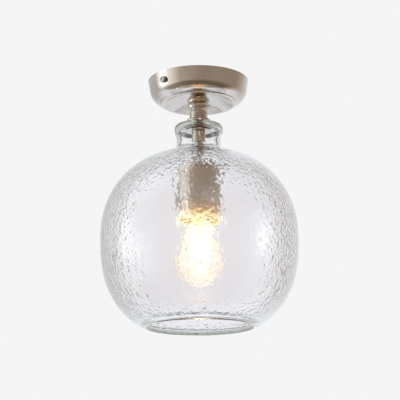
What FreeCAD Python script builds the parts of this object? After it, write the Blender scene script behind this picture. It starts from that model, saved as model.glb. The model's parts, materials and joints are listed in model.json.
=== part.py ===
import FreeCAD, Part
import math
import os

# Porch ceiling lantern: a nickel canopy and turned stem, a hammered glass globe clamped by its neck,
# a socket cup and a bulb.  Millimetres, +Z up.  The origin is the centre of the ceiling plane, which
# the canopy rim touches, and everything hangs below it.  The mounting bracket runs along X.

V = FreeCAD.Vector
UP = V(0, 0, 1)

# Canopy
CANOPY_R = 63.5
CANOPY_SHEET = 1.0
WALL_END = (61.1, -13.5)
SHOULDER_R = 18.0
BEAD_R = 3.3
BEAD_RING_R = 45.6
DISH_CENTRE_Z = -90.0
DISH_R = 75.0
SEAT_R = 12.5
SEAT_Z = DISH_CENTRE_Z + math.sqrt(DISH_R ** 2 - SEAT_R ** 2)
SEAT_TOP = SEAT_Z + CANOPY_SHEET

# Mounting bracket, its nuts and the side screws
BRACKET_WIDTH = 20.0
BRACKET_SHEET = 2.0
EAR_X = 58.0
EAR_SHEET = 1.8
EAR_WIDTH = 12.0
EAR_DEPTH = 16.8
SLOT_SPACING = 79.4
SLOT_LENGTH = 14.35
SLOT_WIDTH = 4.8
WIRE_HOLE_R = 6.5
GROUND_SCREW_X = 22.0
SIDE_SCREW_Z = -12.0
SIDE_SCREW_R = 2.08
SIDE_SCREW_HOLE_R = 2.15
SIDE_SCREW_LENGTH = 13.4
SIDE_WASHER_X = 62.5
SIDE_WASHER_SHEET = 0.5
SIDE_HEAD_R = 4.4
SIDE_HEAD_HEIGHT = 2.9
EAR_NUT_WIDTH = 8.7
EAR_NUT_HEIGHT = 3.0

# Threaded nipple and what it clamps, from the ceiling down
NIPPLE_R = 5.1
NIPPLE_BORE_R = 3.7
NIPPLE_TOP = -9.8
NIPPLE_END = -117.0
STACK_BORE_R = 5.2
LOCK_WASHER_SHEET = 1.0
LOCK_NUT_HEIGHT = 3.4
BEAD_END = -29.3
RING_END = -37.2
SLEEVE_END = -44.2
NECK_RING_END = -49.4
FLANGE_END = -56.0
GASKET_SHEET = 1.5
CLAMP_WASHER_SHEET = 1.6
COUPLING_R = 8.4
COUPLING_LENGTH = 19.2
BEAD_STEM_R = 14.2
COLLAR_R = 11.0
SLEEVE_R = 11.7
NECK_RING_R = 10.9
FLANGE_R = 15.6

# Glass shade: neck, and a globe whose meridian is a superellipse
GLASS_TOP = FLANGE_END - GASKET_SHEET
GLASS_TOP_THICK = 5.0
GLASS_HOLE_R = 7.0
GLASS_WALL = 3.4
NECK_R = 30.5
NECK_WAIST_R = 27.8
GLOBE_R = 121.9
GLOBE_CENTRE_Z = -203.6
GLOBE_UP = 112.7
GLOBE_UP_POWER = 2.22
GLOBE_DOWN = 122.2
GLOBE_DOWN_POWER = 2.46
NECK_JOIN_R = 42.0
LIP_EDGE_R = 68.4
LIP_BEAD_R = 2.9

# Socket cup and socket
CUP_TOP = -108.0
CUP_END = -183.2
CUP_R = 27.4
CUP_SHEET = 0.9
CUP_SHOULDER_R = 9.9
BUSHING_END = -119.0
BRIDGE_SHEET = 1.6
BRIDGE_SCREW_X = 13.0
PORCELAIN_TOP = BUSHING_END - BRIDGE_SHEET
PORCELAIN_END = -177.0
PORCELAIN_R = 18.5
PORCELAIN_BORE_R = 14.3
PORCELAIN_WELL_TOP = -147.5
WIRE_SLOT_DEPTH = 6.0
WIRE_SLOT_WIDTH = 9.0
TERMINAL_Y = 11.5

# Lamp thread: a round knuckle thread of seven turns to the inch
THREAD_PITCH = 25.4 / 7
THREAD_WAVE = 0.43
CAP_MEAN_R = 12.77
SHELL_MEAN_R = CAP_MEAN_R + 0.40
SHELL_R = 14.2
THREAD_PHASE_Z = -182.0

# Bulb
BULB_TIP = -152.3
BULB_LENGTH = 110.0
BULB_R = 30.0
BULB_CENTRE_Z = BULB_TIP - BULB_LENGTH + BULB_R
BULB_GLASS = 0.8
CAP_THREAD_TOP = -157.5
CAP_THREAD_END = -176.8
CAP_SKIRT_R = 13.1
CAP_END = -181.0
CAP_BORE_R = 11.9
FILAMENT_COUNT = 4
FILAMENT_RING_R = 11.0
FILAMENT_R = 1.1
FILAMENT_TOP = -199.0
FILAMENT_LENGTH = 36.0
FILAMENT_TURN = 14.0

# Leads: flexible insulated wires, held by the nipple
LEAD_R = 1.05
LEAD_OFFSET = 1.35
LEAD_TOP_Z = -4.7
LEAD_TERMINAL_Z = -124.7
CONNECTOR_RING_R = 44.6
CONNECTOR_Z = -19.9
CONNECTOR_ANGLE = 135.0
CONNECTOR_LENGTH = 20.0
CONNECTOR_R = 5.6
LEAD_TUBE_SHARE = 0.45


def point(r, z):
    """A point of a meridian: r from the axis, z up."""
    return V(r, 0, z)


def meridian_edges(start, steps):
    """Edges from start: a step is the next (r, z), or ((r, z) on the arc, (r, z) at its end)."""
    edges = []
    here = start
    for step in steps:
        if isinstance(step[0], tuple):
            middle, end = step
            edges.append(Part.Arc(point(*here), point(*middle), point(*end)).toShape())
        else:
            end = step
            edges.append(Part.LineSegment(point(*here), point(*end)).toShape())
        here = end
    return edges


def turned_edges(edges):
    """A solid of revolution about Z from a closed run of meridian edges."""
    face = Part.Face(Part.Wire(edges))
    return face.revolve(V(0, 0, 0), UP, 360)


def turned(start, *steps):
    """A solid of revolution about Z from a closed meridian."""
    return turned_edges(meridian_edges(start, steps + (start,)))


def ring(outer_r, inner_r, high, low):
    """A plain ring between two heights."""
    return turned((inner_r, high), (outer_r, high), (outer_r, low), (inner_r, low))


def rod(radius, start, end):
    """A cylinder from one point to another."""
    along = end - start
    return Part.makeCylinder(radius, along.Length, start, along)


def box(x, y, z):
    """A box from three (low, high) pairs."""
    return Part.makeBox(x[1] - x[0], y[1] - y[0], z[1] - z[0], V(x[0], y[0], z[0]))


def hexagon(across_flats, high, low):
    """A hexagonal prism about Z, with flats square to Y."""
    corner = across_flats / math.sqrt(3)
    corners = [V(corner * math.cos(math.radians(60 * k)), corner * math.sin(math.radians(60 * k)), low)
               for k in range(7)]
    return Part.Face(Part.makePolygon(corners)).extrude(V(0, 0, high - low))


def turned_about(shape, angle):
    """A copy turned about Z."""
    copy = shape.copy()
    copy.rotate(V(0, 0, 0), UP, angle)
    return copy


def compound(solids):
    """Separate solids in one node."""
    return Part.makeCompound(solids)


def dome(radius, base, rise):
    """A meridian step from (radius, base) round to the axis; rise is +1 or -1."""
    lean = radius * math.sqrt(0.5)
    return ((lean, base + rise * lean), (0, base + rise * radius))


def save(name, shape):
    """Write one node."""
    shape.exportStep("parts/" + name + ".step")
    print(name, "valid" if shape.isValid() else "NOT VALID", round(shape.Volume, 1))


# ---- canopy -------------------------------------------------------------------------------------

def outer_meeting(centre, radius, other_centre, other_radius):
    """Where two meridian circles cross, on the side away from the axis."""
    across = other_centre[0] - centre[0]
    rise = other_centre[1] - centre[1]
    apart = math.hypot(across, rise)
    along = (radius ** 2 - other_radius ** 2 + apart ** 2) / (2 * apart)
    aside = math.sqrt(radius ** 2 - along ** 2)
    return (centre[0] + (across * along - rise * aside) / apart,
            centre[1] + (rise * along + across * aside) / apart)


def canopy_profile(depth):
    """The canopy's meridian edges, moved into the cup by depth."""
    wall_angle = math.atan2(CANOPY_R - WALL_END[0], -WALL_END[1])
    normal = (-math.cos(wall_angle), math.sin(wall_angle))
    centre = (WALL_END[0] + SHOULDER_R * normal[0], WALL_END[1] + SHOULDER_R * normal[1])

    def shoulder(angle):
        radius = SHOULDER_R - depth
        return (centre[0] + radius * math.cos(angle), centre[1] - radius * math.sin(angle))

    bead_z = DISH_CENTRE_Z + math.sqrt((DISH_R + BEAD_R) ** 2 - BEAD_RING_R ** 2)
    bead_small = BEAD_R - depth

    def bead(angle):
        return (BEAD_RING_R + bead_small * math.cos(angle), bead_z + bead_small * math.sin(angle))

    def dish(r):
        return (r, DISH_CENTRE_Z + math.sqrt((DISH_R + depth) ** 2 - r ** 2))

    crease_point = outer_meeting(centre, SHOULDER_R - depth, (BEAD_RING_R, bead_z), bead_small)
    end_angle = math.atan2(centre[1] - crease_point[1], crease_point[0] - centre[0])
    crease = math.atan2(crease_point[1] - bead_z, crease_point[0] - BEAD_RING_R)
    inner = math.atan2(DISH_CENTRE_Z - bead_z, -BEAD_RING_R)
    rim = (CANOPY_R + depth * normal[0] / math.cos(wall_angle) ** 2, 0)
    seat_z = SEAT_Z + depth
    seat_r = math.sqrt((DISH_R + depth) ** 2 - (seat_z - DISH_CENTRE_Z) ** 2)
    join = bead(inner)
    return meridian_edges(rim, [
        shoulder(wall_angle),
        (shoulder((wall_angle + end_angle) / 2), crease_point),
        (bead((crease + inner) / 2), join),
        (dish((join[0] + seat_r) / 2), (seat_r, seat_z)),
        (STACK_BORE_R, seat_z)])


def make_canopy():
    """Spun cup: tapered wall, round shoulder, bead ring and a dished underside with a flat seat."""
    outside = canopy_profile(0)
    inside = canopy_profile(CANOPY_SHEET)
    rim = Part.LineSegment(outside[0].Vertexes[0].Point, inside[0].Vertexes[0].Point).toShape()
    hole = Part.LineSegment(outside[-1].Vertexes[-1].Point, inside[-1].Vertexes[-1].Point).toShape()
    shell = turned_edges(Part.__sortEdges__(outside + [hole] + inside + [rim]))
    screw_way = rod(SIDE_SCREW_R + 0.5, V(-CANOPY_R - 5, 0, SIDE_SCREW_Z), V(CANOPY_R + 5, 0, SIDE_SCREW_Z))
    return shell.cut(screw_way)


# ---- bracket and side screws --------------------------------------------------------------------

def slot(x):
    """A slot for an outlet box screw, long in X, right through the strap."""
    straight = SLOT_LENGTH - SLOT_WIDTH
    middle = box((x - straight / 2, x + straight / 2), (-SLOT_WIDTH / 2, SLOT_WIDTH / 2), (-BRACKET_SHEET, 0))
    ends = [Part.makeCylinder(SLOT_WIDTH / 2, BRACKET_SHEET, V(x + side * straight / 2, 0, -BRACKET_SHEET))
            for side in (-1, 1)]
    return middle.fuse(ends)


def make_bracket():
    """Strap under the outlet box, with an ear bent down at each end for a side screw."""
    half = BRACKET_WIDTH / 2
    strap = box((-EAR_X, EAR_X), (-half, half), (-BRACKET_SHEET, 0))
    trim = Part.makeCylinder(EAR_X, BRACKET_SHEET, V(0, 0, -BRACKET_SHEET))
    strap = strap.common(trim)
    for side in (-1, 1):
        low, high = sorted((side * EAR_X, side * (EAR_X - EAR_SHEET)))
        ear = box((low, high), (-EAR_WIDTH / 2, EAR_WIDTH / 2), (-EAR_DEPTH, 0))
        strap = strap.fuse(ear)
    holes = [slot(-SLOT_SPACING / 2), slot(SLOT_SPACING / 2)]
    holes.append(Part.makeCylinder(WIRE_HOLE_R, BRACKET_SHEET, V(0, 0, -BRACKET_SHEET)))
    holes.append(Part.makeCylinder(SIDE_SCREW_HOLE_R, BRACKET_SHEET, V(GROUND_SCREW_X, 0, -BRACKET_SHEET)))
    holes.append(rod(SIDE_SCREW_HOLE_R, V(-EAR_X, 0, SIDE_SCREW_Z), V(EAR_X, 0, SIDE_SCREW_Z)))
    return strap.cut(holes).removeSplitter()


def make_ear_nuts():
    """Square nuts welded inside the ears."""
    nuts = []
    half = EAR_NUT_WIDTH / 2
    inner = EAR_X - EAR_SHEET
    bore = rod(SIDE_SCREW_HOLE_R, V(-inner, 0, SIDE_SCREW_Z), V(inner, 0, SIDE_SCREW_Z))
    for side in (-1, 1):
        low, high = sorted((side * inner, side * (inner - EAR_NUT_HEIGHT)))
        nuts.append(box((low, high), (-half, half), (SIDE_SCREW_Z - half, SIDE_SCREW_Z + half)).cut(bore))
    return compound(nuts)


def make_ground_screw():
    """Hex-headed earth screw, put in from below the strap."""
    head_top = -BRACKET_SHEET
    head = hexagon(7.0, head_top, head_top - 2.6)
    flange = Part.makeCylinder(4.2, 0.8, V(0, 0, head_top - 0.8))
    shank = Part.makeCylinder(SIDE_SCREW_R, BRACKET_SHEET - 0.2, V(0, 0, head_top))
    screw = head.fuse([flange, shank])
    screw.translate(V(GROUND_SCREW_X, 0, 0))
    return screw


def make_side_screw():
    """Pan-headed screw with a cross recess, pointing at +X from the left of its seat at x = 0."""
    edge = 0.9
    head = turned((0, 0), (SIDE_HEAD_R, 0), (SIDE_HEAD_R, SIDE_HEAD_HEIGHT - 1.6),
                  ((SIDE_HEAD_R - 0.5, SIDE_HEAD_HEIGHT - 0.7), (SIDE_HEAD_R - 1.8, SIDE_HEAD_HEIGHT - 0.15)),
                  (0, SIDE_HEAD_HEIGHT))
    arm = box((-2.5, 2.5), (-edge / 2, edge / 2), (SIDE_HEAD_HEIGHT - 1.5, SIDE_HEAD_HEIGHT + 1))
    recess = arm.fuse(turned_about(arm, 90))
    shank = turned((0, 0), (SIDE_SCREW_R, 0), (SIDE_SCREW_R, 0.8 - SIDE_SCREW_LENGTH),
                   (SIDE_SCREW_R - 0.8, -SIDE_SCREW_LENGTH), (0, -SIDE_SCREW_LENGTH))
    screw = head.cut(recess).fuse(shank)
    screw.rotate(V(0, 0, 0), V(0, 1, 0), 90)
    screw.translate(V(SIDE_WASHER_X + SIDE_WASHER_SHEET, 0, SIDE_SCREW_Z))
    return screw


def make_side_washer():
    """Flat washer between the side screw's head and the canopy."""
    washer = ring(SIDE_HEAD_R + 0.1, SIDE_SCREW_R + 0.05, SIDE_WASHER_SHEET, 0)
    washer.rotate(V(0, 0, 0), V(0, 1, 0), 90)
    washer.translate(V(SIDE_WASHER_X, 0, SIDE_SCREW_Z))
    return washer


# ---- stem ---------------------------------------------------------------------------------------

def make_lock_nut():
    """Thin hex nut that clamps the stack inside the canopy."""
    top = SEAT_TOP + LOCK_WASHER_SHEET + LOCK_NUT_HEIGHT
    nut = hexagon(14.3, top, SEAT_TOP + LOCK_WASHER_SHEET)
    return nut.cut(Part.makeCylinder(STACK_BORE_R, 10, V(0, 0, top - 8)))


def make_lock_washer():
    """Tooth washer under the lock nut."""
    teeth = 10
    low = SEAT_TOP
    washer = ring(9.2, STACK_BORE_R, low + LOCK_WASHER_SHEET, low)
    notch = box((7.6, 10), (-0.6, 0.6), (low - 1, low + 3))
    return washer.cut([turned_about(notch, 360 * k / teeth) for k in range(teeth)])


def make_nipple():
    """Hollow threaded rod through the whole stack."""
    chamfer = 0.5
    return turned((NIPPLE_BORE_R, NIPPLE_TOP), (NIPPLE_R - chamfer, NIPPLE_TOP),
                  (NIPPLE_R, NIPPLE_TOP - chamfer), (NIPPLE_R, NIPPLE_END + chamfer),
                  (NIPPLE_R - chamfer, NIPPLE_END), (NIPPLE_BORE_R, NIPPLE_END))


def make_stem_bead():
    """Collar against the canopy, swelling into a round bead."""
    return turned((STACK_BORE_R, SEAT_Z), (COLLAR_R, SEAT_Z), (COLLAR_R, SEAT_Z - 2.9),
                  ((11.5, SEAT_Z - 3.9), (12.6, SEAT_Z - 4.9)),
                  ((BEAD_STEM_R, -24.6), (12.9, BEAD_END + 0.5)), (12.2, BEAD_END), (STACK_BORE_R, BEAD_END))


def make_stem_ring():
    """Rounded ring under the bead."""
    return turned((STACK_BORE_R, BEAD_END), (12.2, BEAD_END), (12.9, BEAD_END - 0.5),
                  ((BEAD_STEM_R, -33.2), (12.9, RING_END + 0.7)), (12.1, RING_END), (STACK_BORE_R, RING_END))


def make_stem_sleeve():
    """Plain sleeve with a small step at its top."""
    return turned((STACK_BORE_R, RING_END), (SLEEVE_R, RING_END), (SLEEVE_R, SLEEVE_END + 0.4),
                  (SLEEVE_R - 0.4, SLEEVE_END), (STACK_BORE_R, SLEEVE_END))


def make_stem_neck_ring():
    """Narrower ring with a half-round bead about its middle."""
    middle = (SLEEVE_END + NECK_RING_END) / 2
    half = 0.9
    return turned((STACK_BORE_R, SLEEVE_END), (NECK_RING_R, SLEEVE_END), (NECK_RING_R, middle + half),
                  ((NECK_RING_R + 0.6, middle), (NECK_RING_R, middle - half)),
                  (NECK_RING_R, NECK_RING_END), (STACK_BORE_R, NECK_RING_END))


def make_stem_flange():
    """Flared foot that bears on the glass."""
    return turned((STACK_BORE_R, NECK_RING_END), (NECK_RING_R, NECK_RING_END),
                  ((11.9, NECK_RING_END - 1.9), (14.1, NECK_RING_END - 3.0)), (14.5, NECK_RING_END - 3.6),
                  (FLANGE_R - 0.4, NECK_RING_END - 4.6), (FLANGE_R, FLANGE_END + 1.2),
                  (FLANGE_R, FLANGE_END), (STACK_BORE_R, FLANGE_END))


def make_coupling_tube():
    """Round coupling that draws the washer up against the glass."""
    top = GLASS_TOP - GLASS_TOP_THICK - GASKET_SHEET - CLAMP_WASHER_SHEET
    low = top - COUPLING_LENGTH
    edge = 0.9
    return turned((STACK_BORE_R, top), (COUPLING_R - edge, top), (COUPLING_R, top - edge),
                  (COUPLING_R, low + edge), (COUPLING_R - edge, low), (STACK_BORE_R, low))


# ---- glass shade --------------------------------------------------------------------------------

def globe_r(z, inset):
    """Radius of the globe's superellipse at a height, drawn in by inset all round."""
    reach, power = (GLOBE_UP, GLOBE_UP_POWER) if z > GLOBE_CENTRE_Z else (GLOBE_DOWN, GLOBE_DOWN_POWER)
    share = abs(z - GLOBE_CENTRE_Z) / (reach - inset)
    return (GLOBE_R - inset) * (1 - share ** power) ** (1 / power)


def globe_z(r, inset, upper):
    """Height of the superellipse at a radius."""
    reach, power = (GLOBE_UP, GLOBE_UP_POWER) if upper else (GLOBE_DOWN, GLOBE_DOWN_POWER)
    rise = (reach - inset) * (1 - (r / (GLOBE_R - inset)) ** power) ** (1 / power)
    return GLOBE_CENTRE_Z + rise if upper else GLOBE_CENTRE_Z - rise


def globe_curve(start_r, end_r, inset):
    """One smooth curve down the globe, from a radius on its top to one at its mouth."""
    steps = 9
    points = []
    for upper, edge_r in ((True, start_r), (False, end_r)):
        full = math.acos(edge_r / (GLOBE_R - inset))
        angles = [full * (k / steps) ** 0.9 for k in range(steps + 1)]
        half = [point((GLOBE_R - inset) * math.cos(a), globe_z((GLOBE_R - inset) * math.cos(a), inset, upper))
                for a in angles]
        points += half[::-1] if upper else half[1:]
    curve = Part.BSplineCurve()
    curve.interpolate(points)
    return curve.toShape()


def neck_curve(points):
    """A smooth curve through the points of the neck."""
    curve = Part.BSplineCurve()
    curve.interpolate([point(*p) for p in points])
    return curve.toShape()


def make_glass_shade():
    """Closed neck, globe and rounded lip, blown as one piece."""
    corner = 5.0
    inner_top = GLASS_TOP - GLASS_TOP_THICK
    outer_join_z = globe_z(NECK_JOIN_R, 0, True)
    inner_join_r = NECK_JOIN_R
    inner_join_z = globe_z(inner_join_r, GLASS_WALL, True)
    slope = (globe_z(NECK_JOIN_R + 1, 0, True) - outer_join_z)
    outer_neck = neck_curve([
        (NECK_R, GLASS_TOP - corner), (30.1, -67.5), (28.4, -73.5), (NECK_WAIST_R, -79.5), (28.6, -86.0),
        (32.4, -91.2), (NECK_JOIN_R - 3, outer_join_z - 3 * slope), (NECK_JOIN_R, outer_join_z)])
    wall = GLASS_WALL
    inner_neck = neck_curve([
        (inner_join_r, inner_join_z), (inner_join_r - 6, inner_join_z + 1.0), (29.0, -93.6),
        (25.4, -88.4), (NECK_WAIST_R - wall, -80.5), (25.0, -73.5), (26.4, -68.5)])
    edge_z = globe_z(LIP_EDGE_R, 0, False)
    lean = math.atan2(globe_z(LIP_EDGE_R + 0.5, 0, False) - globe_z(LIP_EDGE_R - 0.5, 0, False), 1.0)
    inner_mouth_r = LIP_EDGE_R - wall * math.sin(lean)
    inner_mouth = (inner_mouth_r, globe_z(inner_mouth_r, wall, False))
    top = meridian_edges((GLASS_HOLE_R, inner_top), [
        (GLASS_HOLE_R, GLASS_TOP), (NECK_R - corner, GLASS_TOP),
        ((NECK_R - corner * (1 - math.sqrt(0.5)), GLASS_TOP - corner * (1 - math.sqrt(0.5))),
         (NECK_R, GLASS_TOP - corner))])
    under = meridian_edges((26.4, -68.5), [((25.2, -64.2), (21.5, inner_top)), (GLASS_HOLE_R, inner_top)])
    edges = top + [outer_neck, globe_curve(NECK_JOIN_R, LIP_EDGE_R, 0)]
    edges += meridian_edges((LIP_EDGE_R, edge_z), [inner_mouth])
    edges += [globe_curve(inner_join_r, inner_mouth_r, wall), inner_neck] + under
    shell = turned_edges(Part.__sortEdges__(edges))
    lip_r = LIP_EDGE_R - LIP_BEAD_R * math.sin(lean)
    lip = Part.makeTorus(lip_r, LIP_BEAD_R, V(0, 0, edge_z + LIP_BEAD_R * math.cos(lean)))
    return shell.fuse(lip).removeSplitter()


# ---- socket -------------------------------------------------------------------------------------

def cup_profile(inset):
    """The socket cup's meridian edges, drawn in by inset."""
    radius = CUP_SHOULDER_R - inset
    side = CUP_R - inset
    top = CUP_TOP - inset
    lean = radius * (1 - math.sqrt(0.5))
    return meridian_edges((STACK_BORE_R, top), [
        (side - radius, top), ((side - lean, top - lean), (side, top - radius)), (side, CUP_END)])


def make_socket_cup():
    """Spun cup that hides the socket."""
    outside = cup_profile(0)
    inside = cup_profile(CUP_SHEET)
    hole = Part.LineSegment(outside[0].Vertexes[0].Point, inside[0].Vertexes[0].Point).toShape()
    rim = Part.LineSegment(outside[-1].Vertexes[-1].Point, inside[-1].Vertexes[-1].Point).toShape()
    return turned_edges(Part.__sortEdges__(outside + [rim] + inside + [hole]))


def make_cup_nut():
    """Knurled round nut above the cup."""
    teeth = 20
    top = CUP_TOP + 3.6
    nut = turned((STACK_BORE_R, top), (7.0, top), (7.6, top - 0.6), (7.6, CUP_TOP + 0.5), (7.2, CUP_TOP),
                 (STACK_BORE_R, CUP_TOP))
    groove = Part.makeCylinder(0.35, 6, V(7.75, 0, CUP_TOP - 1))
    return nut.cut([turned_about(groove, 360 * k / teeth) for k in range(teeth)])


def make_socket_bushing():
    """Flanged bushing screwed up under the cup, with a spigot for the bridge."""
    top = CUP_TOP - CUP_SHEET
    return turned((STACK_BORE_R, top), (10.0, top), (10.0, top - 2.4), (7.6, top - 2.4), (7.6, BUSHING_END),
                  (6.4, BUSHING_END), (6.4, PORCELAIN_TOP), (STACK_BORE_R, PORCELAIN_TOP))


def make_socket_bridge():
    """Strap on the bushing's spigot that carries the porcelain."""
    half = 17.0
    strap = box((-half, half), (-5.0, 5.0), (PORCELAIN_TOP, BUSHING_END))
    strap = strap.fuse(Part.makeCylinder(9.0, BRIDGE_SHEET, V(0, 0, PORCELAIN_TOP)))
    holes = [Part.makeCylinder(6.4, BRIDGE_SHEET, V(0, 0, PORCELAIN_TOP))]
    for side in (-1, 1):
        holes.append(Part.makeCylinder(1.6, BRIDGE_SHEET, V(side * BRIDGE_SCREW_X, 0, PORCELAIN_TOP)))
    return strap.cut(holes).removeSplitter()


def make_bridge_screws():
    """Two screws from the bridge into the porcelain."""
    screws = []
    for side in (-1, 1):
        screw = turned((0, BUSHING_END + 1.8), ((1.9, BUSHING_END + 1.5), (2.8, BUSHING_END)),
                       (1.55, BUSHING_END), (1.55, BUSHING_END - 9), (0, BUSHING_END - 9.8))
        screw.translate(V(side * BRIDGE_SCREW_X, 0, 0))
        slot_cut = box((side * BRIDGE_SCREW_X - 3, side * BRIDGE_SCREW_X + 3), (-0.4, 0.4),
                       (BUSHING_END + 1.0, BUSHING_END + 3))
        screws.append(screw.cut(slot_cut))
    return compound(screws)


def make_socket_body():
    """Glazed porcelain: a bore for the screw shell and a wire slot across its top."""
    body = turned((0, PORCELAIN_TOP), (PORCELAIN_R - 1.5, PORCELAIN_TOP), (PORCELAIN_R, PORCELAIN_TOP - 1.5),
                  (PORCELAIN_R, PORCELAIN_END + 1.0), (PORCELAIN_R - 1.0, PORCELAIN_END), (0, PORCELAIN_END))
    well = turned((0, PORCELAIN_WELL_TOP), (PORCELAIN_BORE_R, PORCELAIN_WELL_TOP),
                  (PORCELAIN_BORE_R, PORCELAIN_END + 1.5), (PORCELAIN_BORE_R + 1.0, PORCELAIN_END - 1),
                  (0, PORCELAIN_END - 1))
    half = WIRE_SLOT_WIDTH / 2
    slot_floor = PORCELAIN_TOP - WIRE_SLOT_DEPTH
    wire_slot = box((-half, half), (-PORCELAIN_R, PORCELAIN_R), (slot_floor, PORCELAIN_TOP))
    cuts = [well, wire_slot]
    for side in (-1, 1):
        cuts.append(Part.makeCylinder(1.6, 12, V(side * BRIDGE_SCREW_X, 0, PORCELAIN_TOP - 12)))
        low = PORCELAIN_TOP - WIRE_SLOT_DEPTH - 8
        cuts.append(Part.makeCylinder(1.75, 8, V(0, side * TERMINAL_Y, low)))
    return body.cut(cuts)


def thread_centre(z):
    """Where the thread's level section has its centre."""
    turn = 2 * math.pi * (z - THREAD_PHASE_Z) / THREAD_PITCH
    return V(THREAD_WAVE * math.cos(turn), THREAD_WAVE * math.sin(turn), z)


def knuckle_screw(mean_r, high, low):
    """A round-threaded plug: its level sections are circles whose centres run round a thin helix."""
    count = math.ceil((high - low) / THREAD_PITCH * 10)
    levels = [low + (high - low) * k / count for k in range(count + 1)]
    spine = Part.BSplineCurve()
    spine.interpolate([thread_centre(z) for z in levels])
    corner = math.sqrt(0.5)
    ring = [(mean_r / (corner if k % 2 else 1), math.radians(45 * k)) for k in range(9)]
    poles = [[V(r * math.cos(a), r * math.sin(a), 0) + pole for pole in spine.getPoles()] for r, a in ring]
    weights = [[corner if k % 2 else 1] * spine.NbPoles for k in range(9)]
    side = Part.BSplineSurface()
    side.buildFromPolesMultsKnots(poles, (3, 2, 2, 2, 3), spine.getMultiplicities(), (0, 1, 2, 3, 4),
                                  spine.getKnots(), False, False, 2, spine.Degree, weights)
    ends = [Part.Face(Part.Wire(Part.makeCircle(mean_r, thread_centre(z), UP))) for z in (high, low)]
    shell = Part.makeShell([side.toShape()] + ends)
    shell.sewShape()
    return Part.makeSolid(shell)


def make_screw_shell():
    """Brass sleeve with the lamp thread inside."""
    top = PORCELAIN_WELL_TOP - 7.0
    low = PORCELAIN_END + 1.2
    sleeve = Part.makeCylinder(SHELL_R, top - low, V(0, 0, low))
    return sleeve.cut(knuckle_screw(SHELL_MEAN_R, top, low))


def make_center_contact():
    """Sprung strip at the top of the socket that meets the bulb's tip."""
    top = PORCELAIN_WELL_TOP
    low = BULB_TIP + 0.3
    profile = [(-8.0, top), (6.5, top), (6.5, top - 0.5), (-6.5, top - 0.5), (3.1, low + 0.5),
               (4.4, low + 1.35), (4.75, low + 0.95), (3.0, low), (-8.0, top - 0.5)]
    corners = [V(x, -2.5, z) for x, z in profile]
    return Part.Face(Part.makePolygon(corners + corners[:1])).extrude(V(0, 5, 0))


def make_terminal_screw(side):
    """Slotted terminal screw in the porcelain's wire slot; side is +1 or -1 along Y."""
    seat = LEAD_TERMINAL_Z + LEAD_R + 0.05
    floor = PORCELAIN_TOP - WIRE_SLOT_DEPTH
    screw = turned((0, seat + 1.9), (3.0, seat + 1.4), (3.2, seat), (1.7, seat), (1.7, floor - 6),
                   (0, floor - 6.8))
    screw.translate(V(0, side * TERMINAL_Y, 0))
    slot_cut = box((-4, 4), (side * TERMINAL_Y - 0.4, side * TERMINAL_Y + 0.4), (seat + 0.8, seat + 4))
    return screw.cut(slot_cut)


# ---- leads --------------------------------------------------------------------------------------

def rounded_tube(route, radius):
    """A tube along straight runs, each corner an arc as large as its two runs allow."""
    edges = []
    here = route[0]
    for before, corner, after in zip(route, route[1:], route[2:]):
        into = corner - before
        out = after - corner
        turn = into.getAngle(out)
        cut = LEAD_TUBE_SHARE * min(into.Length, out.Length)
        into.normalize()
        out.normalize()
        start = corner - into * cut
        end = corner + out * cut
        to_centre = (out - into).normalize()
        bend_r = cut / math.tan(turn / 2)
        middle = corner + to_centre * (bend_r / math.cos(turn / 2) - bend_r)
        edges.append(Part.LineSegment(here, start).toShape())
        edges.append(Part.Arc(start, middle, end).toShape())
        print("   bend radius", round(bend_r, 1), "mm")
        here = end
    edges.append(Part.LineSegment(here, route[-1]).toShape())
    spine = Part.Wire(edges)
    circle = Part.Wire(Part.makeCircle(radius, route[0], route[1] - route[0]))
    tube = spine.makePipeShell([circle], True, False)
    print("   tube length", round(spine.Length, 1), "volume over section times length",
          round(tube.Volume / (math.pi * radius ** 2 * spine.Length), 3))
    return tube


def connector_place():
    """Middle of the connector's mouth and the way it faces."""
    angle = math.radians(CONNECTOR_ANGLE)
    facing = V(math.sin(angle), -math.cos(angle), 0)
    middle = V(CONNECTOR_RING_R * math.cos(angle), CONNECTOR_RING_R * math.sin(angle), CONNECTOR_Z)
    return middle + facing * (CONNECTOR_LENGTH / 2), facing


def make_lead():
    """Lead from its terminal screw, up the nipple and over into its connector in the canopy."""
    mouth, facing = connector_place()
    route = [V(0, TERMINAL_Y - 1.8, LEAD_TERMINAL_Z), V(0, LEAD_OFFSET, LEAD_TERMINAL_Z),
             V(0, LEAD_OFFSET, LEAD_TOP_Z), V(-0.6, 14.0, LEAD_TOP_Z - 0.6), V(-2.5, 27.0, -8.2),
             V(-7.0, 38.0, -13.0), mouth + facing * 8.0 + V(0, 0, 1.0), mouth - facing * 5.0]
    return rounded_tube(route, LEAD_R)


def make_connector():
    """Twist-on wire connector: a tapered cap with grip ribs and an open mouth."""
    tip_r = 3.2
    cap = turned((0, 0), (CONNECTOR_R, 0), (CONNECTOR_R, -4.0), (tip_r, tip_r - CONNECTOR_LENGTH),
                 dome(tip_r, tip_r - CONNECTOR_LENGTH, -1))
    bore = turned((0, 1), (4.2, 1), (4.2, -6.0), (1.9, -9.0), (0, -9.0))
    grooves = []
    for k in range(8):
        groove = Part.makeCylinder(0.7, 12, V(5.6, 0, -17))
        grooves.append(turned_about(groove, 45 * k))
    cap = cap.cut([bore] + grooves)
    mouth, facing = connector_place()
    cap.Placement = FreeCAD.Placement(mouth, FreeCAD.Rotation(UP, facing))
    return cap


# ---- bulb ---------------------------------------------------------------------------------------

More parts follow.
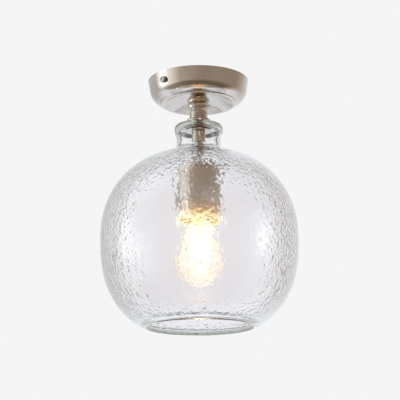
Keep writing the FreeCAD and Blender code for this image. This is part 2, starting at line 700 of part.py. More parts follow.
def bulb_face(inset):
    """Meridian face of the bulb's glass, drawn in by inset, down to the axis."""
    radius = BULB_R - inset
    top = CAP_THREAD_END - 1.5 - inset
    join_angle = math.radians(24)
    join = (radius * math.cos(join_angle), BULB_CENTRE_Z + radius * math.sin(join_angle))
    bottom = (0, BULB_CENTRE_Z - radius)
    middle_angle = (join_angle - math.pi / 2) / 2
    middle = (radius * math.cos(middle_angle), BULB_CENTRE_Z + radius * math.sin(middle_angle))
    neck = Part.BSplineCurve()
    points = [point(11.6 - inset, top), point(12.6 - inset, CAP_END - 1.0), point(15.3 - inset, -191.0),
              point(20.6 - inset, -205.0), point(*join)]
    leaving = V(math.sin(join_angle), 0, -math.cos(join_angle))
    neck.interpolate(points, InitialTangent=V(0.1, 0, -1), FinalTangent=leaving)
    edges = meridian_edges((0, top), [(11.6 - inset, top)])
    edges += [neck.toShape()]
    edges += meridian_edges(join, [(middle, bottom), (0, top)])
    return edges


def make_bulb_envelope():
    """Clear blown glass, open only inside its cap."""
    outer = turned_edges(bulb_face(0))
    inner = turned_edges(bulb_face(BULB_GLASS))
    stem_hole = Part.makeCylinder(5.0, 6, V(0, 0, CAP_THREAD_END - 4))
    return outer.cut([inner, stem_hole])


def make_bulb_cap():
    """Threaded nickel shell cemented to the glass."""
    thread = knuckle_screw(CAP_MEAN_R, CAP_THREAD_TOP, CAP_THREAD_END)
    shoulder = turned((0, CAP_THREAD_TOP + 1.2), (10.0, CAP_THREAD_TOP + 1.2), (12.2, CAP_THREAD_TOP - 0.2),
                      (0, CAP_THREAD_TOP - 0.2))
    skirt = turned((0, CAP_THREAD_END + 0.2), (12.3, CAP_THREAD_END + 0.2),
                   (CAP_SKIRT_R, CAP_THREAD_END - 0.8), (CAP_SKIRT_R, CAP_END), (0, CAP_END))
    roof = CAP_THREAD_TOP - 0.6
    bore = turned((0, roof), (CAP_BORE_R, roof), (CAP_BORE_R, CAP_THREAD_END - 1.0),
                  (CAP_SKIRT_R - 0.35, CAP_END - 1), (0, CAP_END - 1))
    hole = Part.makeCylinder(8.0, 4, V(0, 0, CAP_THREAD_TOP - 1))
    return thread.fuse([shoulder, skirt]).cut([bore, hole])


def make_bulb_insulator():
    """Dark glass cone between the shell and the tip."""
    top = BULB_TIP - 1.2
    return turned((0, top), (4.6, top), (9.4, CAP_THREAD_TOP + 1.2), (8.0, CAP_THREAD_TOP + 1.2),
                  (8.0, CAP_THREAD_TOP), (0, CAP_THREAD_TOP))


def make_bulb_contact():
    """Solder tip."""
    low = BULB_TIP - 1.2
    return turned((0, BULB_TIP), ((3.0, BULB_TIP - 0.35), (4.4, low)), (0, low))


def make_bulb_stem():
    """Glass stem that holds the filaments."""
    top = CAP_THREAD_END - 0.5
    return turned((0, top), (4.8, top), (4.8, top - 4), ((3.0, top - 9), (2.4, top - 18)),
                  (2.2, -203.0), dome(2.2, -203.0, -1))


def filament_places():
    """Ring positions of the filaments."""
    for k in range(FILAMENT_COUNT):
        angle = math.radians(FILAMENT_TURN + 360 * k / FILAMENT_COUNT)
        yield FILAMENT_RING_R * math.cos(angle), FILAMENT_RING_R * math.sin(angle)


def make_filaments():
    """Upright light-emitting rods with round ends."""
    rods = []
    for x, y in filament_places():
        low = FILAMENT_TOP - FILAMENT_LENGTH + FILAMENT_R
        high = FILAMENT_TOP - FILAMENT_R
        stick = turned((0, low - FILAMENT_R), (dome(FILAMENT_R, low, -1)[0], (FILAMENT_R, low)),
                       (FILAMENT_R, high), dome(FILAMENT_R, high, 1))
        stick.translate(V(x, y, 0))
        rods.append(stick)
    return compound(rods)


def make_support_wires():
    """Spider wires that hold the filaments at both ends."""
    wire_r = 0.3
    wires = []
    low = FILAMENT_TOP - FILAMENT_LENGTH
    for x, y in filament_places():
        reach = V(x, y, 0)
        inner = reach * 0.09
        upper = rod(wire_r, inner + V(0, 0, -202.0), reach + V(0, 0, FILAMENT_TOP + 0.6))
        drop = rod(wire_r, reach + V(0, 0, FILAMENT_TOP + 0.8), reach + V(0, 0, FILAMENT_TOP - 0.1))
        wires.append(upper.fuse(drop))
        wires.append(rod(wire_r, V(0, 0, low - 1.0), reach + V(0, 0, low - 0.1)))
    spine = rod(0.45, V(0, 0, -205.0), V(0, 0, low - 1.2))
    return spine.fuse(wires)


def main():
    os.makedirs("parts", exist_ok=True)
    save("mounting_bracket", make_bracket())
    save("bracket_ear_nuts", make_ear_nuts())
    save("ground_screw", make_ground_screw())
    save("canopy", make_canopy())
    screw = make_side_screw()
    washer = make_side_washer()
    for side, angle in (("right", 0), ("left", 180)):
        save(side + "_side_screw", turned_about(screw, angle))
        save(side + "_screw_washer", turned_about(washer, angle))
    save("canopy_lock_nut", make_lock_nut())
    save("canopy_lock_washer", make_lock_washer())
    save("threaded_nipple", make_nipple())
    save("stem_bead", make_stem_bead())
    save("stem_ring", make_stem_ring())
    save("stem_sleeve", make_stem_sleeve())
    save("stem_neck_ring", make_stem_neck_ring())
    save("stem_flange", make_stem_flange())
    save("glass_top_gasket", ring(15.0, STACK_BORE_R + 0.2, FLANGE_END, GLASS_TOP))
    save("glass_shade", make_glass_shade())
    under = GLASS_TOP - GLASS_TOP_THICK
    save("glass_under_gasket", ring(16.2, STACK_BORE_R + 0.2, under, under - GASKET_SHEET))
    washer_top = under - GASKET_SHEET
    save("clamp_washer", ring(17.0, STACK_BORE_R, washer_top, washer_top - CLAMP_WASHER_SHEET))
    save("coupling_tube", make_coupling_tube())
    save("cup_nut", make_cup_nut())
    save("socket_cup", make_socket_cup())
    save("socket_bushing", make_socket_bushing())
    save("socket_bridge", make_socket_bridge())
    save("bridge_screws", make_bridge_screws())
    save("socket_body", make_socket_body())
    save("socket_screw_shell", make_screw_shell())
    save("socket_center_contact", make_center_contact())
    lead = make_lead()
    connector = make_connector()
    for name, side, angle in (("hot", 1, 0), ("neutral", -1, 180)):
        save(name + "_terminal_screw", make_terminal_screw(side))
        save(name + "_lead", turned_about(lead, angle))
        save(name + "_wire_connector", turned_about(connector, angle))
    save("bulb_envelope", make_bulb_envelope())
    save("bulb_screw_cap", make_bulb_cap())
    save("bulb_insulator", make_bulb_insulator())
    save("bulb_contact", make_bulb_contact())
    save("bulb_stem", make_bulb_stem())
    save("bulb_filaments", make_filaments())
    save("bulb_support_wires", make_support_wires())


main()
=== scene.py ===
import json
import math

import bpy
import numpy as np
from mathutils import Matrix, Vector, noise


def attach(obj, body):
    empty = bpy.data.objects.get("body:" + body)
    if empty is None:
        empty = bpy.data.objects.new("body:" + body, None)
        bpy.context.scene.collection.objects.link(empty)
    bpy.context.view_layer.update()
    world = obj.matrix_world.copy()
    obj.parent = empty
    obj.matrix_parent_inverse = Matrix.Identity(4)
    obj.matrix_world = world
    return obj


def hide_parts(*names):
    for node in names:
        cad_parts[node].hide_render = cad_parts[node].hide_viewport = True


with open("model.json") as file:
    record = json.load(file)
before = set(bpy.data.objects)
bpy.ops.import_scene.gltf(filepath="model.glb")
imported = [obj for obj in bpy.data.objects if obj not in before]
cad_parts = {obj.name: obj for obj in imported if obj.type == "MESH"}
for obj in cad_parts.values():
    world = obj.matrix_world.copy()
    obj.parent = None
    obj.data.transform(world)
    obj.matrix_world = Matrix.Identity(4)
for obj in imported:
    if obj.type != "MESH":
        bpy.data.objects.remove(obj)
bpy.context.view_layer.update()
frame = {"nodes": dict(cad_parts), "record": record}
NODES = frame["nodes"]
MM = 0.001

# ---- camera -------------------------------------------------------------------------------------
# It stands below and in front, turned so that the left side screw shows on the canopy's left.

CAMERA_AZIMUTH = math.radians(-46.5)
CAMERA_DISTANCE = 1.5257
CAMERA_HEIGHT = -0.5366
CAMERA_PITCH = math.radians(14.08)
CAMERA_YAW = math.radians(0.037)
CAMERA_ROLL = math.radians(0.45)
CAMERA_LENS = 114.24

RIGHT = Vector((math.cos(CAMERA_AZIMUTH), math.sin(CAMERA_AZIMUTH), 0))
AWAY = Vector((-math.sin(CAMERA_AZIMUTH), math.cos(CAMERA_AZIMUTH), 0))
UP = Vector((0, 0, 1))


def make_camera():
    """The photograph's view."""
    data = bpy.data.cameras.new("camera")
    data.lens = CAMERA_LENS
    data.clip_start = 0.05
    data.clip_end = 60
    camera = bpy.data.objects.new("camera", data)
    bpy.context.scene.collection.objects.link(camera)
    bpy.context.scene.camera = camera
    across = RIGHT * math.cos(CAMERA_YAW) - AWAY * math.sin(CAMERA_YAW)
    ahead = RIGHT * math.sin(CAMERA_YAW) + AWAY * math.cos(CAMERA_YAW)
    forward = ahead * math.cos(CAMERA_PITCH) + UP * math.sin(CAMERA_PITCH)
    upward = UP * math.cos(CAMERA_PITCH) - ahead * math.sin(CAMERA_PITCH)
    side = across * math.cos(CAMERA_ROLL) - upward * math.sin(CAMERA_ROLL)
    top = across * math.sin(CAMERA_ROLL) + upward * math.cos(CAMERA_ROLL)
    place = AWAY * -CAMERA_DISTANCE + UP * CAMERA_HEIGHT
    camera.matrix_world = Matrix((
        (side.x, top.x, -forward.x, place.x),
        (side.y, top.y, -forward.y, place.y),
        (side.z, top.z, -forward.z, place.z),
        (0, 0, 0, 1)))


# ---- node helpers -------------------------------------------------------------------------------

def put(tree, kind, inputs=None, **settings):
    """A new node, with its settings and its constant inputs."""
    node = tree.nodes.new(kind)
    for name, value in settings.items():
        setattr(node, name, value)
    for name, value in (inputs or {}).items():
        node.inputs[name].default_value = value
    return node


def math_node(tree, operation, a, b=0.0, c=0.0):
    """The output of a Math node; a, b and c are numbers or sockets."""
    node = put(tree, "ShaderNodeMath", operation=operation)
    for k, value in enumerate((a, b, c)):
        if isinstance(value, bpy.types.NodeSocket):
            tree.links.new(value, node.inputs[k])
        else:
            node.inputs[k].default_value = value
    return node.outputs[0]


def grey(value):
    return (value, value, value)


def ramp(tree, factor, stops, interpolation="LINEAR"):
    """A colour ramp with (position, colour) stops; a number for a colour is a grey."""
    node = put(tree, "ShaderNodeValToRGB")
    elements = node.color_ramp.elements
    node.color_ramp.interpolation = interpolation
    while len(elements) < len(stops):
        elements.new(0.5)
    for element, (place, colour) in zip(elements, stops):
        element.position = place
        element.color = (*(colour if isinstance(colour, tuple) else grey(colour)), 1)
    tree.links.new(factor, node.inputs[0])
    return node.outputs["Color"]


def mix_colour(tree, factor, a, b):
    """A colour mix by a factor socket; a and b are colours or sockets."""
    node = put(tree, "ShaderNodeMix", data_type="RGBA")
    tree.links.new(factor, node.inputs["Factor"])
    for slot, value in ((6, a), (7, b)):
        if isinstance(value, bpy.types.NodeSocket):
            tree.links.new(value, node.inputs[slot])
        else:
            node.inputs[slot].default_value = (*value, 1)
    return node.outputs[2]


def coordinates(tree, output="Object"):
    """The x, y and z of a texture coordinate."""
    place = put(tree, "ShaderNodeTexCoord")
    parts = put(tree, "ShaderNodeSeparateXYZ")
    tree.links.new(place.outputs[output], parts.inputs[0])
    return parts.outputs


# ---- world, floor and lights --------------------------------------------------------------------

BACKGROUND = 0.913
ROOM_LIGHT = (0.80, 0.80, 0.80)
FLOOR_TONE = (0.80, 0.80, 0.80, 1)
FLOOR_GLOW_SHARE = 0.85
FLOOR_Z = -1.9
FLOOR_REACH = 14.0

# The room that metal mirrors, by bearing in degrees, where 0 is the camera's side and 180 is
# straight behind the object: tones at eye level, below it and underfoot.

WHITE_WALL = (0.96, 1.01, 1.09)
COOL_WALL = (0.76, 0.74, 0.76)
GREY_WALL = (0.60, 0.60, 0.58)
SIDE_PANEL = (1.28, 1.30, 1.28)
TAUPE = (0.38, 0.31, 0.25)
WARM_GREY = (0.55, 0.47, 0.39)
DARK_BROWN = (0.20, 0.145, 0.10)
WARM_GLOW = (1.50, 0.78, 0.26)
WHITE_FLOOR = (1.22, 1.28, 1.38)

LEVEL_ROOM = [(-180, WHITE_WALL), (-150, GREY_WALL), (-112, GREY_WALL), (-102, SIDE_PANEL),
              (-78, SIDE_PANEL), (-42, WARM_GREY), (0, TAUPE), (98, TAUPE), (117, WARM_GREY),
              (138, COOL_WALL), (180, WHITE_WALL)]
LOW_ROOM = [(-180, WHITE_WALL), (-118, WHITE_WALL), (-100, TAUPE), (-85, TAUPE),
            (-30, DARK_BROWN), (90, DARK_BROWN), (104, WARM_GREY), (122, WHITE_WALL),
            (180, WHITE_WALL)]
UNDER_ROOM = [(-180, WHITE_FLOOR), (-120, WHITE_FLOOR), (-90, WARM_GREY), (-55, TAUPE),
              (-30, WARM_GLOW), (30, WARM_GLOW), (55, TAUPE), (90, TAUPE), (120, WHITE_FLOOR),
              (180, WHITE_FLOOR)]

# Shares by height, where 0 is straight down, 0.5 is level and 1 is straight up.

LOW_SHARE = [(0.17, 1.0), (0.34, 0.0)]
UNDER_SHARE = [(0.02, 1.0), (0.06, 0.0)]

# What shows straight through clear glass: pale, with upright dark strips all round, a dark strip
# at the horizon and one high up, both strongest behind the object, and a greyer floor.

STRIP_COUNT = 12.0  # even, so that it is pale straight behind the object
STRIP_TONES = [(0.0, 0.10), (0.36, (0.92, 0.905, 0.95)), (1.0, (0.93, 0.915, 0.96))]
BAND_TONE = (0.09, 0.09, 0.085)
BAND_SHARE = [(0.32, 0.0), (0.37, 0.0), (0.43, 1.0), (0.485, 1.0), (0.537, 0.0), (0.67, 0.0),
              (0.71, 1.0)]
BAND_BY_BEARING = [(0.11, 1.0), (0.17, 0.25), (0.83, 0.25), (0.89, 1.0)]
STEEP_TONE = (0.55, 0.55, 0.53)
STEEP_SHARE = [(0.14, 1.0), (0.22, 0.0)]


def room_tones(tree, share, height):
    """The room as metal mirrors it."""
    level, low, under = (
        ramp(tree, share, [(0.5 + degrees / 360, colour) for degrees, colour in room])
        for room in (LEVEL_ROOM, LOW_ROOM, UNDER_ROOM))
    tones = mix_colour(tree, ramp(tree, height, LOW_SHARE, "EASE"), level, low)
    return mix_colour(tree, ramp(tree, height, UNDER_SHARE, "EASE"), tones, under)


def tones_through_glass(tree, turn, share, height):
    """The room as it shows straight through clear glass."""
    strips = math_node(tree, "COSINE", math_node(tree, "MULTIPLY", turn, STRIP_COUNT))
    strips = math_node(tree, "MULTIPLY_ADD", strips, 0.5, 0.5)
    tones = ramp(tree, strips, STRIP_TONES, "EASE")
    band = ramp(tree, height, BAND_SHARE, "EASE")
    band = math_node(tree, "MULTIPLY", band, ramp(tree, share, BAND_BY_BEARING))
    tones = mix_colour(tree, band, tones, BAND_TONE)
    return mix_colour(tree, ramp(tree, height, STEEP_SHARE, "EASE"), tones, STEEP_TONE)


def make_world():
    """White behind the object; around it a pale studio, darker on the camera's side."""
    world = bpy.data.worlds.new("studio")
    bpy.context.scene.world = world
    world.use_nodes = True
    tree = world.node_tree
    tree.nodes.clear()
    x, y, z = coordinates(tree, "Generated")
    toward, beside = (
        math_node(tree, "ADD", math_node(tree, "MULTIPLY", x, direction.x),
                  math_node(tree, "MULTIPLY", y, direction.y))
        for direction in (-AWAY, RIGHT))
    turn = math_node(tree, "ARCTAN2", beside, toward)
    share = math_node(tree, "MULTIPLY_ADD", turn, 0.5 / math.pi, 0.5)
    height = math_node(tree, "MULTIPLY_ADD", z, 0.5, 0.5)
    mirrored = room_tones(tree, share, height)
    seen = tones_through_glass(tree, turn, share, height)

    path = put(tree, "ShaderNodeLightPath")
    through = path.outputs["Is Transmission Ray"]
    unmirrored = math_node(tree, "LESS_THAN", path.outputs["Glossy Depth"], 0.5)
    straight = math_node(tree, "MULTIPLY", unmirrored, through)
    bounced = math_node(tree, "SUBTRACT", through, straight)
    colour = mix_colour(tree, path.outputs["Is Glossy Ray"], ROOM_LIGHT, mirrored)
    colour = mix_colour(tree, bounced, colour, mirrored)
    colour = mix_colour(tree, straight, colour, seen)
    colour = mix_colour(tree, path.outputs["Is Camera Ray"], colour, grey(BACKGROUND))
    back = put(tree, "ShaderNodeBackground", {"Strength": 1.0})
    tree.links.new(colour, back.inputs["Color"])
    output = put(tree, "ShaderNodeOutputWorld")
    tree.links.new(back.outputs[0], output.inputs["Surface"])


def make_floor():
    """Pale floor far below the lantern."""
    mesh = bpy.data.meshes.new("floor")
    corners = [(-1, -1), (1, -1), (1, 1), (-1, 1)]
    mesh.from_pydata([(x * FLOOR_REACH, y * FLOOR_REACH, FLOOR_Z) for x, y in corners],
                     [], [(0, 1, 2, 3)])
    floor = bpy.data.objects.new("floor", mesh)
    bpy.context.scene.collection.objects.link(floor)
    material = bpy.data.materials.new("pale_floor")
    material.use_nodes = True
    tree = material.node_tree
    tree.nodes.clear()
    matt = put(tree, "ShaderNodeBsdfDiffuse", {"Color": FLOOR_TONE})
    glow = put(tree, "ShaderNodeEmission", {"Color": (*grey(BACKGROUND), 1), "Strength": 1.0})
    path = put(tree, "ShaderNodeLightPath")
    mix = put(tree, "ShaderNodeMixShader")
    share = math_node(tree, "MULTIPLY", path.outputs["Is Camera Ray"], FLOOR_GLOW_SHARE)
    tree.links.new(share, mix.inputs[0])
    tree.links.new(matt.outputs[0], mix.inputs[1])
    tree.links.new(glow.outputs[0], mix.inputs[2])
    output = put(tree, "ShaderNodeOutputMaterial")
    tree.links.new(mix.outputs[0], output.inputs["Surface"])
    floor.visible_glossy = False
    floor.visible_transmission = False
    mesh.materials.append(material)


LIT_POINT = Vector((0, 0, -0.2))


def softbox(name, right, toward, up, wide, high, power):
    """A rectangular area lamp that faces the globe; right, toward and up are metres from it."""
    data = bpy.data.lights.new(name, "AREA")
    data.shape = "RECTANGLE"
    data.size = wide
    data.size_y = high
    data.energy = power
    lamp = bpy.data.objects.new(name, data)
    bpy.context.scene.collection.objects.link(lamp)
    lamp.location = LIT_POINT + RIGHT * right - AWAY * toward + UP * up
    lamp.rotation_mode = "QUATERNION"
    lamp.rotation_quaternion = (LIT_POINT - lamp.location).to_track_quat("-Z", "Y")
    return lamp


def make_lights(shade):
    """Three softboxes, and the lit bulb's own light."""
    softbox("left_softbox", right=-1.25, toward=0.08, up=0.06, wide=0.46, high=0.50, power=1.05)
    glass_lamp = softbox("right_softbox", right=1.23, toward=0.30, up=0.10,
                         wide=0.40, high=0.42, power=0.80)
    softbox("front_softbox", right=0.5, toward=2.2, up=1.5, wide=0.9, high=0.9, power=2.0)
    glass_only = bpy.data.collections.new("lit_by_right_softbox")
    glass_only.objects.link(shade)
    glass_lamp.light_linking.receiver_collection = glass_only
    data = bpy.data.lights.new("bulb_light", "POINT")
    data.energy = 0.5
    data.color = (1.0, 0.70, 0.38)
    data.shadow_soft_size = 0.010
    lamp = bpy.data.objects.new("bulb_light", data)
    lamp.location = (0, 0, -0.220)
    bpy.context.scene.collection.objects.link(lamp)


# ---- materials ----------------------------------------------------------------------------------

METAL_GRAIN = 0.00002
LATHE_LINES = 2600.0
GLASS_IOR = 1.5
GLASS_SHADOW = (0.93, 0.94, 0.93, 1)
MOST_MIRRORINGS = 2.5  # past this many mirrorings, glass is plainly transparent


def principled(name, colour, roughness, metallic=0.0):
    """A Principled material: (material, tree, shader, output)."""
    material = bpy.data.materials.new(name)
    material.use_nodes = True
    tree = material.node_tree
    tree.nodes.clear()
    shader = put(tree, "ShaderNodeBsdfPrincipled",
                 {"Base Color": (*colour, 1), "Roughness": roughness, "Metallic": metallic})
    output = put(tree, "ShaderNodeOutputMaterial")
    tree.links.new(shader.outputs[0], output.inputs["Surface"])
    return material, tree, shader, output


def place_noise(tree, scale, detail):
    """Noise on the object's own coordinates."""
    place = put(tree, "ShaderNodeTexCoord")
    texture = put(tree, "ShaderNodeTexNoise", {"Scale": scale, "Detail": detail})
    tree.links.new(place.outputs["Object"], texture.inputs["Vector"])
    return texture.outputs["Fac"]


def bump(tree, shader, height, distance, strength=1.0, normal=None):
    """Adds a bump to a shader and gives the bump's output."""
    node = put(tree, "ShaderNodeBump", {"Distance": distance, "Strength": strength})
    tree.links.new(height, node.inputs["Height"])
    if normal is not None:
        tree.links.new(normal, node.inputs["Normal"])
    tree.links.new(node.outputs[0], shader.inputs["Normal"])
    return node.outputs[0]


def turned_lines(tree, scale):
    """Fine noise round the vertical axis, as a lathe or a spinning tool leaves."""
    x, y, z = coordinates(tree)
    squares = math_node(tree, "ADD", math_node(tree, "MULTIPLY", x, x),
                        math_node(tree, "MULTIPLY", y, y))
    joined = put(tree, "ShaderNodeCombineXYZ")
    tree.links.new(math_node(tree, "SQRT", squares), joined.inputs[0])
    tree.links.new(z, joined.inputs[1])
    texture = put(tree, "ShaderNodeTexNoise", {"Scale": scale, "Detail": 2.0})
    tree.links.new(joined.outputs[0], texture.inputs["Vector"])
    return texture.outputs["Fac"]


def metal(name, colour, roughness, spun=False, mottle=0.12):
    """A metal with a mottled tone and roughness, and lathe lines or a fine grain."""
    material, tree, shader, _ = principled(name, colour, roughness, 1.0)
    dark = tuple(c * (1 - mottle) for c in colour)
    shades = ramp(tree, place_noise(tree, 55.0, 4.0), [(0.30, dark), (0.70, colour)])
    tree.links.new(shades, shader.inputs["Base Color"])
    levels = ramp(tree, place_noise(tree, 140.0, 5.0),
                  [(0.25, roughness * 0.8), (0.75, roughness * 1.25)])
    tree.links.new(levels, shader.inputs["Roughness"])
    lines = turned_lines(tree, LATHE_LINES) if spun else place_noise(tree, 1500.0, 3.0)
    bump(tree, shader, lines, METAL_GRAIN, 0.6)
    return material


def plastic(name, colour, roughness, grain_scale=1800.0, grain=0.00003):
    """A moulded plastic or rubber with a slight tone change and a fine grain."""
    material, tree, shader, _ = principled(name, colour, roughness)
    dark = tuple(c * 0.86 for c in colour)
    shades = ramp(tree, place_noise(tree, 90.0, 4.0), [(0.3, dark), (0.7, colour)])
    tree.links.new(shades, shader.inputs["Base Color"])
    levels = ramp(tree, place_noise(tree, 260.0, 3.0),
                  [(0.3, roughness * 0.85), (0.7, min(1.0, roughness * 1.2))])
    tree.links.new(levels, shader.inputs["Roughness"])
    bump(tree, shader, place_noise(tree, grain_scale, 2.0), grain, 0.7)
    return material


def glow_by_height(tree, shader, start, end, stops):
    """Emission that changes with height, from start to end in metres."""
    share = put(tree, "ShaderNodeMapRange", {"From Min": start, "From Max": end})
    tree.links.new(coordinates(tree)[2], share.inputs[0])
    tree.links.new(ramp(tree, share.outputs[0], stops), shader.inputs["Emission Color"])
    shader.inputs["Emission Strength"].default_value = 1.0


def nickel_with_painted_bulb_glow():
    """Nickel of the socket cup, with the bulb's light painted on its lower end as a warm glow."""
    material = metal("cup_nickel_painted_glow", (0.66, 0.615, 0.56), 0.15, spun=True)
    tree = material.node_tree
    shader = next(node for node in tree.nodes if node.type == "BSDF_PRINCIPLED")
    # Painted light: warm emission that rises towards the cup's lower end stands in for the lit
    # bulb's light on it.
    glow_by_height(tree, shader, -0.150, -0.184, [
        (0.0, 0.0), (0.25, (0.025, 0.012, 0.004)), (0.60, (0.20, 0.10, 0.025)),
        (0.74, (0.46, 0.29, 0.08)), (0.84, (0.78, 0.63, 0.33)), (1.0, (0.92, 0.84, 0.62))])
    return material


def let_lamps_through(tree, shader, output):
    """Glass casts no hard shadow: lamps shine through it."""
    path = put(tree, "ShaderNodeLightPath")
    clear = put(tree, "ShaderNodeBsdfTransparent", {"Color": GLASS_SHADOW})
    mix = put(tree, "ShaderNodeMixShader")
    soft = math_node(tree, "MAXIMUM", path.outputs["Is Shadow Ray"], path.outputs["Is Diffuse Ray"])
    worn_out = math_node(tree, "GREATER_THAN", path.outputs["Glossy Depth"], MOST_MIRRORINGS)
    tree.links.new(math_node(tree, "MAXIMUM", soft, worn_out), mix.inputs[0])
    tree.links.new(shader.outputs[0], mix.inputs[1])
    tree.links.new(clear.outputs[0], mix.inputs[2])
    tree.links.new(mix.outputs[0], output.inputs["Surface"])


def glass(name, tint):
    """Clear glass: (material, tree, shader, output)."""
    material, tree, shader, output = principled(name, tint, 0.0)
    shader.inputs["Transmission Weight"].default_value = 1.0
    shader.inputs["IOR"].default_value = GLASS_IOR
    let_lamps_through(tree, shader, output)
    return material, tree, shader, output


def hammered_glass():
    """Glass of the shade: small hollows below the neck, a fine ripple, and a tint in its depth."""
    material, tree, shader, output = glass("hammered_glass", (0.985, 0.985, 0.99))
    cells = put(tree, "ShaderNodeTexVoronoi", {"Scale": 235.0})
    place = put(tree, "ShaderNodeTexCoord")
    tree.links.new(place.outputs["Object"], cells.inputs["Vector"])
    distance = cells.outputs["Distance"]
    below_neck = put(tree, "ShaderNodeMapRange",
                     {"From Min": -0.088, "From Max": -0.100, "To Min": 0.12, "To Max": 1.0})
    tree.links.new(coordinates(tree)[2], below_neck.inputs[0])
    hollow = math_node(tree, "MULTIPLY", math_node(tree, "MULTIPLY", distance, distance),
                       below_neck.outputs[0])
    hollows = bump(tree, shader, hollow, 0.00020)
    bump(tree, shader, place_noise(tree, 700.0, 2.0), 0.00003, 0.4, hollows)
    depth = put(tree, "ShaderNodeVolumeAbsorption",
                {"Color": (0.80, 0.808, 0.775, 1), "Density": 40.0})
    tree.links.new(depth.outputs[0], output.inputs["Volume"])
    return material


def bulb_glass():
    """Glass of the lit bulb, with a warm glow that is strongest near the cap."""
    material, tree, shader, _ = glass("bulb_glass", (1.0, 0.99, 0.965))
    glow_by_height(tree, shader, -0.232, -0.190, [
        (0.0, (0.080, 0.052, 0.024)), (0.4, (0.095, 0.068, 0.032)), (1.0, (0.24, 0.19, 0.085))])
    bump(tree, shader, place_noise(tree, 60.0, 2.0), 0.0002, 0.2)
    return material


def stem_glass():
    """Glass that holds the bulb's wires."""
    material, tree, shader, _ = glass("stem_glass", (0.97, 0.98, 0.98))
    bump(tree, shader, place_noise(tree, 200.0, 2.0), 0.0002, 0.3)
    return material


def filament_glow():
    """Lit filaments, in two warm tones."""
    material, tree, shader, _ = principled("filament_glow", (1.0, 0.80, 0.50), 0.5)
    beads = place_noise(tree, 900.0, 2.0)
    warm = ramp(tree, beads, [(0.35, (1.0, 0.70, 0.40)), (0.65, (1.0, 0.84, 0.62))])
    tree.links.new(warm, shader.inputs["Emission Color"])
    shader.inputs["Emission Strength"].default_value = 6.0
    return material


def make_materials():
    """The looks, by the record's material slots; the socket cup gets its own nickel, with the
    bulb's light painted on its lower end.
    """
    return {
        "nickel": metal("satin_nickel", (0.70, 0.655, 0.61), 0.11, spun=True),
        "cup_nickel_painted_glow": nickel_with_painted_bulb_glow(),
        "nickel_turned": metal("turned_nickel", (0.64, 0.585, 0.53), 0.08, spun=True),
        "zinc_steel": metal("zinc_plated_steel", (0.62, 0.62, 0.60), 0.34, mottle=0.25),
        "screw_steel": metal("plated_screw_steel", (0.58, 0.55, 0.51), 0.22),
        "brass": metal("brass", (0.74, 0.56, 0.27), 0.26),
        "solder": metal("solder", (0.62, 0.62, 0.64), 0.42),
        "filament_wire": metal("filament_wire", (0.60, 0.58, 0.55), 0.3),
        "green_steel": plastic("green_paint", (0.06, 0.30, 0.11), 0.38),
        "porcelain": plastic("glazed_porcelain", (0.86, 0.85, 0.81), 0.16, 500.0, 0.00002),
        "gasket": plastic("black_rubber", (0.06, 0.06, 0.06), 0.72),
        "dark_glass": plastic("black_glass", (0.02, 0.02, 0.025), 0.12, 400.0, 0.00001),
        "black_insulation": plastic("black_insulation", (0.02, 0.02, 0.02), 0.42),
        "white_insulation": plastic("white_insulation", (0.82, 0.82, 0.79), 0.42),
        "connector": plastic("orange_plastic", (0.72, 0.25, 0.04), 0.46),
        "shade_glass": hammered_glass(),
        "bulb_glass": bulb_glass(),
        "stem_glass": stem_glass(),
        "filament": filament_glow(),
    }


# ---- pieces -------------------------------------------------------------------------------------

def lathe(name, meridian, turns, push=None):
    """A closed surface of revolution from a closed run of (r, z) in mm.

    push(points, rows) gives how far each point then moves outward, in mm.
    """
    line = np.array(meridian, float)
    rows = len(line)
    angles = np.arange(turns) * (2 * math.pi / turns)
    ahead = np.roll(line, -1, 0) - np.roll(line, 1, 0)
    ahead /= np.linalg.norm(ahead, axis=1)[:, None]
    out = np.stack([-ahead[:, 1], ahead[:, 0]], 1)
    cos, sin = np.cos(angles), np.sin(angles)

    def swept(pairs):
        return np.stack([np.outer(pairs[:, 0], cos), np.outer(pairs[:, 0], sin),
                         np.repeat(pairs[:, 1][:, None], turns, 1)], -1).reshape(-1, 3)

    places = swept(line)
    row = np.repeat(np.arange(rows), turns)
    column = np.tile(np.arange(turns), rows)
    if push:
        places = places + swept(out) * push(places, row)[:, None]
    below = (row + 1) % rows
    beside = (column + 1) % turns
    faces = np.stack([row * turns + column, below * turns + column,
                      below * turns + beside, row * turns + beside], 1)
    mesh = bpy.data.meshes.new(name)
    mesh.from_pydata((places * MM).tolist(), [], faces.tolist())
    mesh.polygons.foreach_set("use_smooth", [True] * len(mesh.polygons))
    mesh.update()
    piece = bpy.data.objects.new(name, mesh)
    bpy.context.scene.collection.objects.link(piece)
    return piece


# All in mm, as radii and heights.

GLASS_TOP = -57.5
GLASS_TOP_THICK = 5.0
GLASS_WALL = 3.4
GLASS_HOLE_R = 7.0
HOLE_CHAMFER = 0.8
NECK_R = 30.5
NECK_CORNER = 5.0
NECK_JOIN_R = 42.0
NECK_OUTSIDE = [(30.1, -67.5), (28.4, -73.5), (27.8, -79.5), (28.6, -86.0), (32.4, -91.2)]
NECK_INSIDE = [(29.0, -93.6), (25.4, -88.4), (24.4, -80.5), (25.0, -73.5), (26.4, -68.5),
               (25.2, -64.2)]
NECK_FLAT = [21.5, 18.0, 14.0, 10.5]
GLOBE_R = 121.9
GLOBE_CENTRE_Z = -203.6
UPPER_REACH, UPPER_POWER = 112.7, 2.22
LOWER_REACH, LOWER_POWER = 122.2, 2.46
LIP_EDGE_R = 68.4
LIP_BEAD_R = 2.9
LIP_TURN = 205  # degrees of the lip's bead

OUTSIDE_STEP = 2.1
INSIDE_STEP = 5.0
GLOBE_TURNS = 356  # steps round the axis; as fine as the export keeps without thinning the mesh
GLOBE_POINTS, LIP_POINTS, TOP_POINTS, CORNER_POINTS = 160, 18, 9, 8

